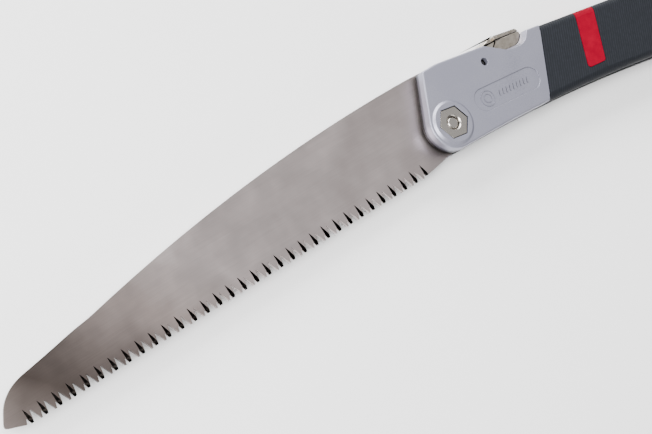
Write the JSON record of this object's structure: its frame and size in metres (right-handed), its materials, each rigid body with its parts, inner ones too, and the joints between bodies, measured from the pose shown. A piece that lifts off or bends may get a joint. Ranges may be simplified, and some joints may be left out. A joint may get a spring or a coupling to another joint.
{
  "type": "folding pruning saw",
  "caption": "Folding pruning saw: a curved blade swings out of a cushioned handle with a cast head and is held open by a sprung thumb lock.",
  "frame": {"origin": "middle of the saw's bounding box, on the plane that its far side lies on", "axes": "+X from the blade's tip to the butt of the handle, +Y from the teeth to the blade's back, +Z along the blade pivot towards the nut"},
  "size_m": [0.49, 0.0754, 0.0188],
  "materials": {
    "blade_steel": "fine ground, satin",
    "pivot_steel": "nickel plated",
    "bearing_bronze": "machined",
    "washer_steel": "smooth",
    "cast_aluminium": "fine bead-blasted casting",
    "spacer_steel": "stamped",
    "spacer_plastic": "moulded",
    "lever_nickel": "cast, nickel plated",
    "spring_steel": "drawn wire",
    "grip_elastomer": "matt with a fine grain across the handle",
    "inlay_elastomer": "smooth"
  },
  "bodies": {
    "handle": {"pivot_bolt": "pivot_steel", "pivot_nut": "pivot_steel", "pivot_bush": "bearing_bronze", "near_washer": "washer_steel", "far_washer": "washer_steel", "near_frame_half": "cast_aluminium", "far_frame_half": "cast_aluminium", "handle_spine": "spacer_steel", "tail_spacer": "spacer_plastic", "frame_rivet_1": "pivot_steel", "frame_rivet_2": "pivot_steel", "frame_rivet_3": "pivot_steel", "frame_rivet_4": "pivot_steel", "tail_eyelet": "pivot_steel", "lever_pin": "pivot_steel", "lever_spring": "spring_steel", "grip_sleeve": "grip_elastomer", "grip_inlay": "inlay_elastomer"},
    "blade": {"blade": "blade_steel"},
    "lock_lever": {"lock_lever": "lever_nickel"}
  },
  "joints": [
    {"name": "blade_fold", "type": "hinge", "parent": "handle", "child": "blade", "pos_m": [-0.01026, 0.01065, 0.009], "axis": [0, 0, 1], "range_deg": [0, 173]},
    {"name": "lock_press", "type": "hinge", "parent": "handle", "child": "lock_lever", "pos_m": [0.02155, 0.02665, 0.009], "axis": [0, 0, -1], "range_deg": [0, 6.5], "stiffness_Nm_per_rad": 0.6, "deforming": ["lever_spring"]}
  ]
}
